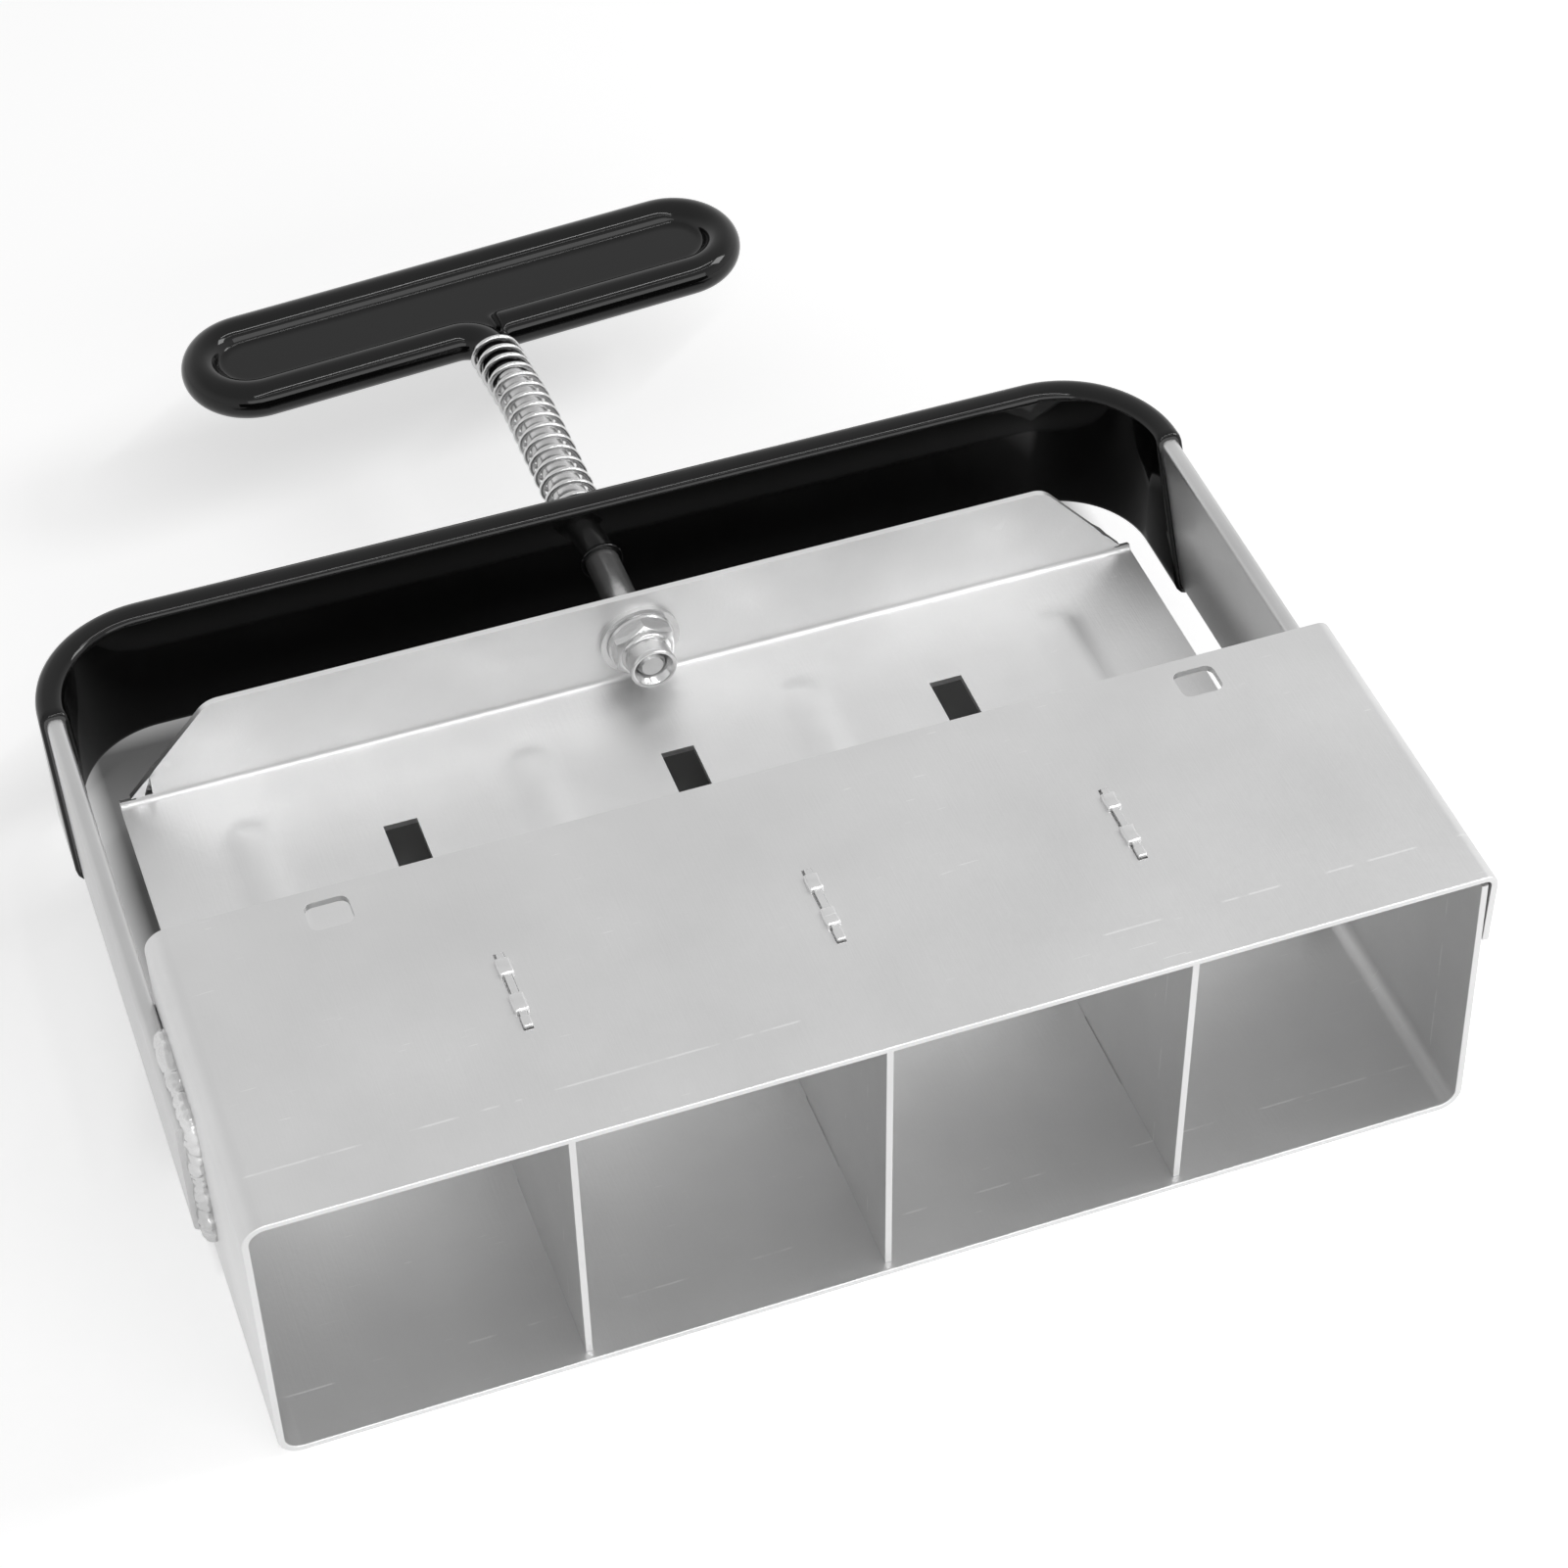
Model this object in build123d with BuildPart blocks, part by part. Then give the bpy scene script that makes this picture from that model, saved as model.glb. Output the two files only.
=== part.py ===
"""Four-cell soil blocker, lying on its back with the cell mouths to the front.

X runs along the row of cells, Y along the tool from the mouths to the T-handle,
and Z is up, from the table to the upper wall of the mould box. The origin is on
the table, under the middle of the tool. All sizes are in millimetres.
"""

import os
from math import asin, cos, degrees, hypot, pi, radians, sin, sqrt, tan

from build123d import *

os.makedirs("parts", exist_ok=True)

# mould box: one strip of sheet, bent round the four cells and lapped at one end
row_length = 208.0  # outside
box_depth = 58.0  # outside, table to upper wall
box_height = 63.5  # mouth to open back
sheet = 1.2
bend_radius = 4.0  # outside of the plain bends
lap_bend_radius = 2.4  # outside of the bend above the lap
lap_height = 15.5
lap_gap = 0.7  # at the top of the tucked-in wall
wall_top_drop = 0.8  # of the tucked-in wall, under the upper wall

# dividers, tabbed through both wide walls and staked over
cell_pitch = 51.8
divider_setback = 1.6  # behind the mouth, and in front of the open back
tab_length = 16.0
tab_middle = 31.4  # from the mouth
tab_clearance = 0.05
tab_proud = 0.5  # of the upper tab
stake_length = 3.6
stake_width = 2.4
stake_height = 1.0
stake_spacing = 7.9
stake_middle = 32.5  # from the mouth

# windows near the open back of the upper wall
window_width = 7.4
window_length = 6.2
window_corner = 1.5
window_edge = 2.9  # strip of wall left behind a window
window_spacing = 151.4
window_shift = 1.0

# handle strap: flat bar bent to a U and welded to the ends of the box
bar_thickness = 3.2
bar_width = 26.0
bar_edge_round = 1.1
strap_corner = 21.5  # outside radius of the two bends
strap_reach = 156.2  # mouth to the outside of the crossbar
arm_overlap = 27.5  # how far the arms run down the box ends
weld_run = 18.5  # bead along each edge of an arm, from its end
weld_leg = 4.0
weld_taper = 46.0  # degrees

# grip dipped over the crossbar
dip = 1.0  # thickness of the skin
dip_line = 119.5  # mouth to the end of the dip, at the bar's lower edge
dip_slope = 27.0  # degrees that the dip line leans back
dip_hole = 6.8

# push rod, bent slightly under the T-handle, with a thinner stud for the nuts
rod_diameter = 6.35
stud_diameter = 5.0
rod_running_gap = 0.08  # radial, where it slides in the strap
rod_fit_gap = 0.05  # radial, between the stud and the ejector and nuts
rod_bend = 4.2  # degrees
rod_bend_at = 200.0  # from the mouth
rod_bend_radius = 80.0
rod_recess = 0.9  # rod end, inside the collar of the nut

# ejector: one sheet bent to a channel, slotted over the dividers
ejector_sheet = 1.2
ejector_bend = 2.4  # outside radius
bridge_front = 130.0  # mouth to the face that carries the nut
bridge_height = 20.6
bridge_slant = 16.0  # how far its free edge is drawn in at each end
bridge_relief = 2.0
bridge_corner = 5.0
web_side_gap = 5.3  # from the web's side to the outside of the box
slot_width = 6.2
slot_end = 109.0  # mouth to the closed end of the slots
rib_width = 11.0
rib_rise = 1.0
rib_start = 120.0  # mouth to the blind end of the ribs
foot_rib_gap = 4.0
travel = 38.0  # of the plunger, from rest

# presser plates and their seed pins
cell_side_gap = 0.8
presser_sheet = 1.5
presser_corner = 2.0
presser_face = 50.5  # mouth to the plate's face, at rest
pin_shank = 5.0
pin_head = 12.0
pin_neck = 1.0  # straight part of the head, under its dome
pin_tail = 8.0
pin_tail_height = 1.8

# nuts and washer on the rod's lower end
washer_diameter = 15.0
washer_thickness = 1.0
nut_flange_diameter = 12.8
nut_flange_thickness = 0.7
nut_across_flats = 10.6
nut_hex_height = 2.8
collar_diameter = 8.8
collar_length = 4.5
collar_mouth = 7.6
collar_mouth_depth = 1.8
jam_across_flats = 8.0
jam_height = 4.0

# return spring
wire = 1.15
spring_bore = 7.9
spring_pitch = 3.3
end_splay = 0.5  # how far the ends of the wire stand out, clear of the dipped neck

# T-handle: the same rod bent to a long loop, dipped, with a web of the skin in it
tee_length = 117.4  # over the dip
tee_width = 28.0
tee_from_bend = 33.5  # rod bend to the middle of the loop
tee_dip = 0.65
tee_web = 1.6
neck_bend = 6.0  # radius of the rod's centre line, where the neck turns left
neck_length = 9.5  # dipped part of the push rod
loop_end = 4.0  # free end of the loop, all but touching the neck, from its axis

# ---- places that follow from the sizes ---------------------------------------
half_row = row_length / 2
axis_z = box_depth / 2
tee_lean = radians(rod_bend)
tee_middle_y = rod_bend_at + tee_from_bend * cos(tee_lean)
tee_far_y = tee_middle_y + (tee_length - tee_width) / 2 * sin(tee_lean) + tee_width / 2
mouth_y = -tee_far_y / 2
back_y = mouth_y + box_height
divider_xs = [-cell_pitch, 0.0, cell_pitch]
tab_y = mouth_y + tab_middle
stake_y = mouth_y + stake_middle
inner_bottom = sheet
inner_top = box_depth - sheet
wall_top_x = half_row - sheet - lap_gap
wall_top_z = inner_top - wall_top_drop

bar_bottom = axis_z - bar_width / 2
bar_top = axis_z + bar_width / 2
strap_half = half_row + bar_thickness
crossbar_outer = mouth_y + strap_reach
crossbar_inner = crossbar_outer - bar_thickness
arm_end_y = back_y - arm_overlap

bridge_y = mouth_y + bridge_front
web_z = axis_z - bridge_height / 2
web_top = web_z + ejector_sheet
bridge_top = web_z + bridge_height
web_half = half_row - sheet - web_side_gap
foot_y = mouth_y + presser_face + presser_sheet

# faces that bound each cell, left to right, at the upper wall
cell_lefts = [-half_row + sheet] + [x + sheet / 2 for x in divider_xs]
cell_rights = [x - sheet / 2 for x in divider_xs] + [wall_top_x - sheet]
cell_middles = [(a + b) / 2 for a, b in zip(cell_lefts, cell_rights)]


def bent_sheet(corners, radii, thickness):
    """Section of a bent sheet, whose corners run along the outside of its bends.

    The sheet lies to the right of the corners. Each bend has its outside radius.
    """
    def right_of(a, b):
        length = hypot(b[0] - a[0], b[1] - a[1])
        return ((b[1] - a[1]) / length, (a[0] - b[0]) / length)

    sides = [right_of(a, b) for a, b in zip(corners, corners[1:])]
    inside = []
    for place, corner in enumerate(corners):
        before = sides[max(place - 1, 0)]
        after = sides[min(place, len(sides) - 1)]
        scale = thickness / (1 + before[0] * after[0] + before[1] * after[1])
        inside.append(
            (
                corner[0] + scale * (before[0] + after[0]),
                corner[1] + scale * (before[1] + after[1]),
            )
        )
    with BuildSketch() as section:
        with BuildLine():
            Polyline(*corners, *reversed(inside), close=True)
        make_face()
        for place, radius in enumerate(radii, start=1):
            fillet(section.vertices().sort_by_distance(corners[place])[0], radius)
            fillet(section.vertices().sort_by_distance(inside[place])[0], radius - thickness)
    return section.sketch


# ---- mould box ---------------------------------------------------------------
with BuildPart() as mould_box:
    with BuildSketch(Plane.XZ.offset(-mouth_y)):
        add(
            bent_sheet(
                corners=(
                    (wall_top_x, wall_top_z),
                    (half_row, 0),
                    (-half_row, 0),
                    (-half_row, box_depth),
                    (half_row, box_depth),
                    (half_row, box_depth - lap_height),
                ),
                radii=(bend_radius, bend_radius, bend_radius, lap_bend_radius),
                thickness=sheet,
            )
        )
    extrude(amount=-box_height)
    # slots for the divider tabs, through both wide walls
    with BuildSketch(Plane.XY.offset(box_depth)):
        with Locations(*[(x, tab_y) for x in divider_xs]):
            Rectangle(sheet + 2 * tab_clearance, tab_length + 2 * tab_clearance)
    extrude(amount=-box_depth, mode=Mode.SUBTRACT)
    # rounded windows in the upper wall
    with BuildSketch(Plane.XY.offset(box_depth)):
        window_y = back_y - window_edge - window_length / 2
        with Locations(
            (window_shift - window_spacing / 2, window_y),
            (window_shift + window_spacing / 2, window_y),
        ):
            RectangleRounded(window_width, window_length, window_corner)
    extrude(amount=-2 * sheet, mode=Mode.SUBTRACT)
mould_box.part.label = "mould_box"
export_step(mould_box.part, "parts/mould_box.step")

# ---- dividers ----------------------------------------------------------------
for number, x in enumerate(divider_xs, start=1):
    with BuildPart() as divider:
        with BuildSketch(Plane.YZ.offset(x)):
            with Locations((mouth_y + box_height / 2, axis_z)):
                Rectangle(box_height - 2 * divider_setback, inner_top - inner_bottom)
            with Locations((tab_y, axis_z)):
                Rectangle(tab_length, box_depth)
        with BuildSketch(Plane.YZ.offset(x)):
            with Locations((tab_y, box_depth)):
                Rectangle(tab_length, 2 * tab_proud)
        extrude(amount=sheet / 2, both=True)
        # upper tab spread over the wall by two blows of a chisel
        with BuildSketch(Plane.XY.offset(box_depth)):
            for end in (-1, 1):
                with Locations((x, stake_y + end * stake_spacing / 2)):
                    RectangleRounded(stake_width, stake_length, stake_width / 3)
        extrude(amount=stake_height, taper=14)
    divider.part.label = f"divider_{number}"
    export_step(divider.part, f"parts/divider_{number}.step")


# ---- handle strap and its dipped grip ----------------------------------------
def strap_body(skin):
    """Bent bar as a solid, grown on every side by the skin's thickness."""
    reach = strap_half + skin
    with BuildPart() as bar:
        with BuildSketch(Plane.XY.offset(bar_bottom - skin)):
            add(
                bent_sheet(
                    corners=(
                        (-reach, arm_end_y),
                        (-reach, crossbar_outer + skin),
                        (reach, crossbar_outer + skin),
                        (reach, arm_end_y),
                    ),
                    radii=(strap_corner + skin, strap_corner + skin),
                    thickness=bar_thickness + 2 * skin,
                )
            )
        extrude(amount=bar_width + 2 * skin)
        lower = bar.edges().group_by(Axis.Z)[0]
        upper = bar.edges().group_by(Axis.Z)[-1]
        ends = bar.faces().sort_by(Axis.Y)[0:2].edges()
        long_edges = [e for e in lower + upper if e not in ends]
        fillet(long_edges, bar_edge_round + skin * 0.5)
    return bar.part


with BuildPart() as handle_strap:
    add(strap_body(0))
    with BuildSketch(Plane.XZ.offset(-crossbar_outer)):
        with Locations((0, axis_z)):
            Circle(rod_diameter / 2 + rod_running_gap)
    extrude(amount=bar_thickness, mode=Mode.SUBTRACT)
handle_strap.part.label = "handle_strap"
export_step(handle_strap.part, "parts/handle_strap.step")

with BuildPart() as strap_grip:
    add(strap_body(dip))
    add(strap_body(0), mode=Mode.SUBTRACT)
    with BuildSketch(Plane.XZ.offset(-crossbar_outer - dip)):
        with Locations((0, axis_z)):
            Circle(dip_hole / 2)
    extrude(amount=bar_thickness + 2 * dip, mode=Mode.SUBTRACT)
    lean = radians(dip_slope)
    split(
        bisect_by=Plane(
            origin=(0, mouth_y + dip_line, bar_bottom),
            x_dir=(1, 0, 0),
            z_dir=(0, cos(lean), -sin(lean)),
        ),
        keep=Keep.TOP,
    )
strap_grip.part.label = "strap_grip"
export_step(strap_grip.part, "parts/strap_grip.step")

# ---- weld beads round the arm ends, in the corner with the box ----------------
for name, side in (("left_weld", -1), ("right_weld", 1)):
    wall_foot = half_row
    wall_head = wall_top_x if side > 0 else half_row
    outside = Vector(side * wall_top_z, 0, wall_foot - wall_head)
    with BuildPart() as weld:
        with BuildSketch(Plane(origin=(side * half_row, 0, 0), x_dir=(0, 1, 0), z_dir=(side, 0, 0))):
            with Locations((arm_end_y + (weld_run - weld_leg) / 2, side * axis_z)):
                RectangleRounded(weld_run + weld_leg, bar_width + 2 * weld_leg, weld_leg)
        extrude(amount=bar_thickness, taper=weld_taper)
        # root of the bead, down to the wall where that leans inwards
        extrude(weld.faces().sort_by(Axis.X)[-1 if side < 0 else 0], amount=2 * sheet)
        split(bisect_by=Plane(origin=(side * half_row, 0, 0), z_dir=outside), keep=Keep.TOP)
        add(handle_strap.part, mode=Mode.SUBTRACT)
        add(mould_box.part, mode=Mode.SUBTRACT)
    weld.part.label = name
    export_step(weld.part, f"parts/{name}.step")

# ---- ejector -----------------------------------------------------------------
with BuildPart() as ejector:
    with BuildSketch(Plane.YZ):
        add(
            bent_sheet(
                corners=(
                    (bridge_y + ejector_sheet, bridge_top),
                    (bridge_y + ejector_sheet, web_z),
                    (foot_y, web_z),
                    (foot_y, bridge_top),
                ),
                radii=(ejector_bend, ejector_bend),
                thickness=ejector_sheet,
            )
        )
    extrude(amount=web_half, both=True)
    # stiffening ribs pressed up along the middle of each finger
    crest = (rib_width**2 / 4 + rib_rise**2) / (2 * rib_rise)
    rib_half_angle = degrees(asin(rib_width / 2 / crest))
    for level, mode in ((web_top, Mode.ADD), (web_z, Mode.SUBTRACT)):
        for x in cell_middles:
            rib_end = mouth_y + rib_start - rib_width / 2
            with BuildSketch(Plane.XZ.offset(-rib_end)):
                with BuildLine():
                    Line((x - rib_width / 2, level), (x + rib_width / 2, level))
                    ThreePointArc(
                        (x - rib_width / 2, level),
                        (x, level + rib_rise),
                        (x + rib_width / 2, level),
                    )
                make_face()
            extrude(amount=rib_end - foot_y - foot_rib_gap, mode=mode)
            with BuildSketch(Plane.YZ.offset(x)):
                with BuildLine():
                    Polyline(
                        (rib_end, level + rib_rise),
                        (rib_end, level),
                        (rib_end + rib_width / 2, level),
                    )
                    CenterArc(
                        center=(rib_end, level + rib_rise - crest),
                        radius=crest,
                        start_angle=90 - rib_half_angle,
                        arc_size=rib_half_angle,
                    )
                make_face()
            revolve(
                axis=Axis((x, rib_end, level), (0, 0, 1)),
                revolution_arc=360,
                mode=mode,
            )
    # slots over the dividers, open at the foot
    with BuildSketch(Plane.XY.offset(web_z)):
        slot_back = mouth_y + slot_end
        slot_length = slot_back - foot_y
        with Locations(*[(x, slot_back - slot_length / 2) for x in divider_xs]):
            Rectangle(slot_width, slot_length)
    extrude(amount=bridge_height, mode=Mode.SUBTRACT)
    # slanted ends of the bridge, with a short relief above the bend
    with BuildSketch(Plane.XZ.offset(-bridge_y - ejector_sheet)):
        for side in (-1, 1):
            with BuildLine():
                Polyline(
                    (side * web_half, web_z + ejector_bend),
                    (side * (web_half - bridge_relief), web_z + ejector_bend),
                    (side * (web_half - bridge_relief - bridge_slant), bridge_top),
                    (side * web_half, bridge_top),
                    close=True,
                )
            make_face()
    extrude(amount=ejector_sheet, mode=Mode.SUBTRACT)
    corners = (
        ejector.edges()
        .filter_by(Axis.Y)
        .filter_by(lambda e: abs(e.center().Z - bridge_top) < 0.01)
        .filter_by(lambda e: e.center().Y > bridge_y - ejector_sheet)
    )
    fillet(corners, bridge_corner)
    # holes for the rod and for the seed pins
    with BuildSketch(Plane.XZ.offset(-bridge_y - ejector_sheet)):
        with Locations((0, axis_z)):
            Circle(stud_diameter / 2 + rod_fit_gap)
    extrude(amount=ejector_sheet, mode=Mode.SUBTRACT)
    with BuildSketch(Plane.XZ.offset(-foot_y - ejector_sheet)):
        with Locations(*[(x, axis_z) for x in cell_middles]):
            Circle(pin_shank / 2 + rod_fit_gap)
    extrude(amount=ejector_sheet, mode=Mode.SUBTRACT)
ejector.part.label = "ejector"
export_step(ejector.part, "parts/ejector.step")

# ---- presser plates and seed pins --------------------------------------------
for number, (left, right) in enumerate(zip(cell_lefts, cell_rights), start=1):
    x = (left + right) / 2
    plate_width = right - left - 2 * cell_side_gap
    plate_depth = inner_top - inner_bottom - 2 * cell_side_gap
    with BuildPart() as presser_plate:
        with BuildSketch(Plane.XZ.offset(-foot_y)):
            with Locations((x, axis_z)):
                RectangleRounded(plate_width, plate_depth, presser_corner)
                Circle(pin_shank / 2 + rod_fit_gap, mode=Mode.SUBTRACT)
        extrude(amount=presser_sheet)
    presser_plate.part.label = f"presser_plate_{number}"
    export_step(presser_plate.part, f"parts/presser_plate_{number}.step")

    # riveted pin: rounded head on the plate's face, tail behind the foot
    face = foot_y - presser_sheet
    tail = foot_y + ejector_sheet
    with BuildPart() as seed_pin:
        with BuildSketch(Plane.YZ.offset(x)):
            with BuildLine():
                Polyline(
                    (face - pin_neck - pin_head / 2, axis_z),
                    (tail + pin_tail_height, axis_z),
                    (tail + pin_tail_height, axis_z + pin_tail / 3),
                    (tail, axis_z + pin_tail / 2),
                    (tail, axis_z + pin_shank / 2),
                    (face, axis_z + pin_shank / 2),
                    (face, axis_z + pin_head / 2),
                    (face - pin_neck, axis_z + pin_head / 2),
                )
                CenterArc(
                    center=(face - pin_neck, axis_z),
                    radius=pin_head / 2,
                    start_angle=90,
                    arc_size=90,
                )
            make_face()
        revolve(axis=Axis((x, 0, axis_z), (0, 1, 0)))
    seed_pin.part.label = f"seed_pin_{number}"
    export_step(seed_pin.part, f"parts/seed_pin_{number}.step")

# ---- nuts and washer on the rod ----------------------------------------------
with BuildPart() as nut_washer:
    with BuildSketch(Plane.XZ.offset(-bridge_y)):
        with Locations((0, axis_z)):
            Circle(washer_diameter / 2)
            Circle(stud_diameter / 2 + rod_fit_gap, mode=Mode.SUBTRACT)
    extrude(amount=washer_thickness)
nut_washer.part.label = "nut_washer"
export_step(nut_washer.part, "parts/nut_washer.step")

nut_y = bridge_y - washer_thickness
collar_end = nut_y - nut_flange_thickness - nut_hex_height - collar_length
with BuildPart() as flange_nut:
    with BuildSketch(Plane.XZ.offset(-nut_y)):
        with Locations((0, axis_z)):
            Circle(nut_flange_diameter / 2)
    extrude(amount=nut_flange_thickness, taper=8)
    with BuildSketch(Plane.XZ.offset(-nut_y + nut_flange_thickness)):
        with Locations((0, axis_z)):
            RegularPolygon(nut_across_flats / 2, 6, major_radius=False)
    extrude(amount=nut_hex_height)
    top_hex = flange_nut.faces().filter_by(Axis.Y).sort_by(Axis.Y)[0]
    chamfer(top_hex.edges(), 0.5)
    with BuildSketch(Plane.XZ.offset(-nut_y + nut_flange_thickness + nut_hex_height)):
        with Locations((0, axis_z)):
            Circle(collar_diameter / 2)
    extrude(amount=collar_length)
    end_face = flange_nut.faces().filter_by(Axis.Y).sort_by(Axis.Y)[0]
    fillet(end_face.edges(), 0.5)
    # bore, opened out at the collar's mouth
    with BuildSketch(Plane.XZ.offset(-nut_y)):
        with Locations((0, axis_z)):
            Circle(stud_diameter / 2 + rod_fit_gap)
    extrude(amount=nut_y - collar_end, mode=Mode.SUBTRACT)
    with BuildSketch(Plane.YZ):
        with BuildLine():
            Polyline(
                (collar_end, axis_z),
                (collar_end, axis_z + collar_mouth / 2),
                (collar_end + collar_mouth_depth, axis_z + stud_diameter / 2 + rod_fit_gap),
                (collar_end + collar_mouth_depth, axis_z),
                close=True,
            )
        make_face()
    revolve(axis=Axis((0, 0, axis_z), (0, 1, 0)), mode=Mode.SUBTRACT)
flange_nut.part.label = "flange_nut"
export_step(flange_nut.part, "parts/flange_nut.step")

with BuildPart() as jam_nut:
    with BuildSketch(Plane.XZ.offset(-bridge_y - ejector_sheet)):
        with Locations((0, axis_z)):
            RegularPolygon(jam_across_flats / 2, 6, major_radius=False)
            Circle(stud_diameter / 2 + rod_fit_gap, mode=Mode.SUBTRACT)
    extrude(amount=-jam_height)
jam_nut.part.label = "jam_nut"
export_step(jam_nut.part, "parts/jam_nut.step")

# ---- push rod ----------------------------------------------------------------
bend_y = mouth_y + rod_bend_at
shoulder_y = bridge_y + ejector_sheet + jam_height
near_side = tee_from_bend - tee_width / 2 + rod_diameter / 2 + tee_dip
neck_top = near_side - neck_bend
tee_plane = Plane(
    origin=(0, bend_y, axis_z),
    x_dir=(cos(tee_lean), sin(tee_lean), 0),
    z_dir=(0, 0, 1),
)


def across_neck(height):
    """Plane across the neck, at a height from the rod's bend, that looks along it."""
    return Plane(
        origin=tee_plane.from_local_coords((0, height, 0)),
        x_dir=(cos(tee_lean), sin(tee_lean), 0),
        z_dir=(-sin(tee_lean), cos(tee_lean), 0),
    )


rod_tip = across_neck(neck_top).origin
with BuildPart() as push_rod:
    with BuildLine() as rod_line:
        FilletPolyline(
            (0, shoulder_y, axis_z),
            (0, bend_y, axis_z),
            rod_tip,
            radius=rod_bend_radius,
        )
    with BuildSketch(Plane.XZ.offset(-shoulder_y)):
        with Locations((0, axis_z)):
            Circle(rod_diameter / 2)
    sweep(path=rod_line.line)
    # stud through the ejector, for the washer and the nuts
    with BuildSketch(Plane.XZ.offset(-shoulder_y)):
        with Locations((0, axis_z)):
            Circle(stud_diameter / 2)
    extrude(amount=shoulder_y - collar_end - rod_recess)
    chamfer(push_rod.faces().filter_by(Axis.Y).sort_by(Axis.Y)[0].edges(), 0.5)
push_rod.part.label = "push_rod"
export_step(push_rod.part, "parts/push_rod.step")


# ---- T-handle and its dipped grip --------------------------------------------
def loop_body(radius, neck):
    """Bent loop of the T-handle as a solid, from a length of straight neck to its free end."""
    far_side = 2 * tee_from_bend - near_side
    end_radius = (far_side - near_side) / 2
    end_x = tee_length / 2 - rod_diameter / 2 - tee_dip - end_radius
    with BuildPart() as loop:
        with BuildLine(tee_plane) as loop_line:
            if neck > 0:
                Line((0, neck_top - neck), (0, neck_top))
            JernArc(start=(0, neck_top), tangent=(0, 1), radius=neck_bend, arc_size=90)
            Line((-neck_bend, near_side), (-end_x, near_side))
            JernArc(start=(-end_x, near_side), tangent=(-1, 0), radius=end_radius, arc_size=-180)
            Line((-end_x, far_side), (end_x, far_side))
            JernArc(start=(end_x, far_side), tangent=(1, 0), radius=end_radius, arc_size=-180)
            Line((end_x, near_side), (loop_end, near_side))
        with BuildSketch(across_neck(neck_top - neck)):
            Circle(radius)
        sweep(path=loop_line.line)
    return loop.part


with BuildPart() as t_handle:
    add(loop_body(rod_diameter / 2, 0))
t_handle.part.label = "t_handle"
export_step(t_handle.part, "parts/t_handle.step")

with BuildPart() as t_handle_grip:
    add(loop_body(rod_diameter / 2 + tee_dip, neck_length))
    # web of the skin across the loop
    with BuildSketch(tee_plane.offset(-tee_web / 2)):
        with Locations((0, tee_from_bend)):
            SlotOverall(tee_length - rod_diameter, tee_width - rod_diameter)
    extrude(amount=tee_web)
    add(loop_body(rod_diameter / 2, neck_length), mode=Mode.SUBTRACT)
t_handle_grip.part.label = "t_handle_grip"
export_step(t_handle_grip.part, "parts/t_handle_grip.step")

# ---- return spring -----------------------------------------------------------
spring_radius = (spring_bore + wire) / 2
seat_y = crossbar_outer + dip
bend_half = rod_bend_radius * tan(tee_lean / 2)
to_bend = bend_y - bend_half - seat_y
bend_length = rod_bend_radius * tee_lean
spring_end = near_side - rod_diameter / 2 - tee_dip
spring_length = to_bend + bend_length + spring_end - bend_half


def rod_axis(s):
    """Point of the rod's axis at length s above the seat, and its heading."""
    if s <= to_bend:
        return (0.0, seat_y + s), 0.0
    turn = min((s - to_bend) / rod_bend_radius, tee_lean)
    x = -rod_bend_radius * (1 - cos(turn))
    y = seat_y + to_bend + rod_bend_radius * sin(turn)
    rest = max(0.0, s - to_bend - bend_length)
    return (x - rest * sin(turn), y + rest * cos(turn)), turn


def wire_point(angle, s, radius):
    """Point of the wire's centre line, at an angle round the axis and a radius from it."""
    (x, y), turn = rod_axis(s)
    out = radius * cos(angle)
    return Vector(x + out * cos(turn), y + out * sin(turn), axis_z + radius * sin(angle))


coil_length = spring_length - 2 * wire
quarters = 4 * round(coil_length / spring_pitch)
rise = coil_length / quarters
turns = quarters / 4


def along(k):
    """Wire point after k quarter turns, which may be a fraction. Both ends stand out."""
    radius = spring_radius + (end_splay if k in (0, quarters) else 0)
    return wire_point(k * pi / 2, wire + k * rise, radius)


def heading(k):
    """Direction of the wire after k quarter turns."""
    if k <= 0:
        return Vector(0, 1, 0)
    if k >= quarters:
        return Vector(-sin(tee_lean), cos(tee_lean), 0)
    return (along(k + 0.001) - along(k - 0.001)).normalized()


def joint_of_biarc(p, u, q, v):
    """Point and direction where two arcs meet that join p to q smoothly."""
    gap = q - p
    both = u + v
    a = 2 * (1 - u.dot(v))
    b = 2 * gap.dot(both)
    c = -gap.dot(gap)
    reach = (-b + sqrt(b * b - 4 * a * c)) / (2 * a)
    first = p + u * reach
    second = q - v * reach
    return (first + second) * 0.5, (second - first).normalized()


with BuildPart() as spring:
    with BuildLine() as wire_line:
        Line(along(0) - heading(0) * wire, along(0))
        for k in range(quarters):
            start, end = along(k), along(k + 1)
            middle, middle_heading = joint_of_biarc(start, heading(k), end, heading(k + 1))
            TangentArc(start, middle, tangent=heading(k))
            TangentArc(middle, end, tangent=middle_heading)
        Line(along(quarters), along(quarters) + heading(quarters) * wire)
    with BuildSketch(Plane(origin=along(0) - heading(0) * wire, z_dir=heading(0))):
        Circle(wire / 2)
    sweep(path=wire_line.line)
spring.part.label = "spring"
export_step(spring.part, "parts/spring.step")

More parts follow.
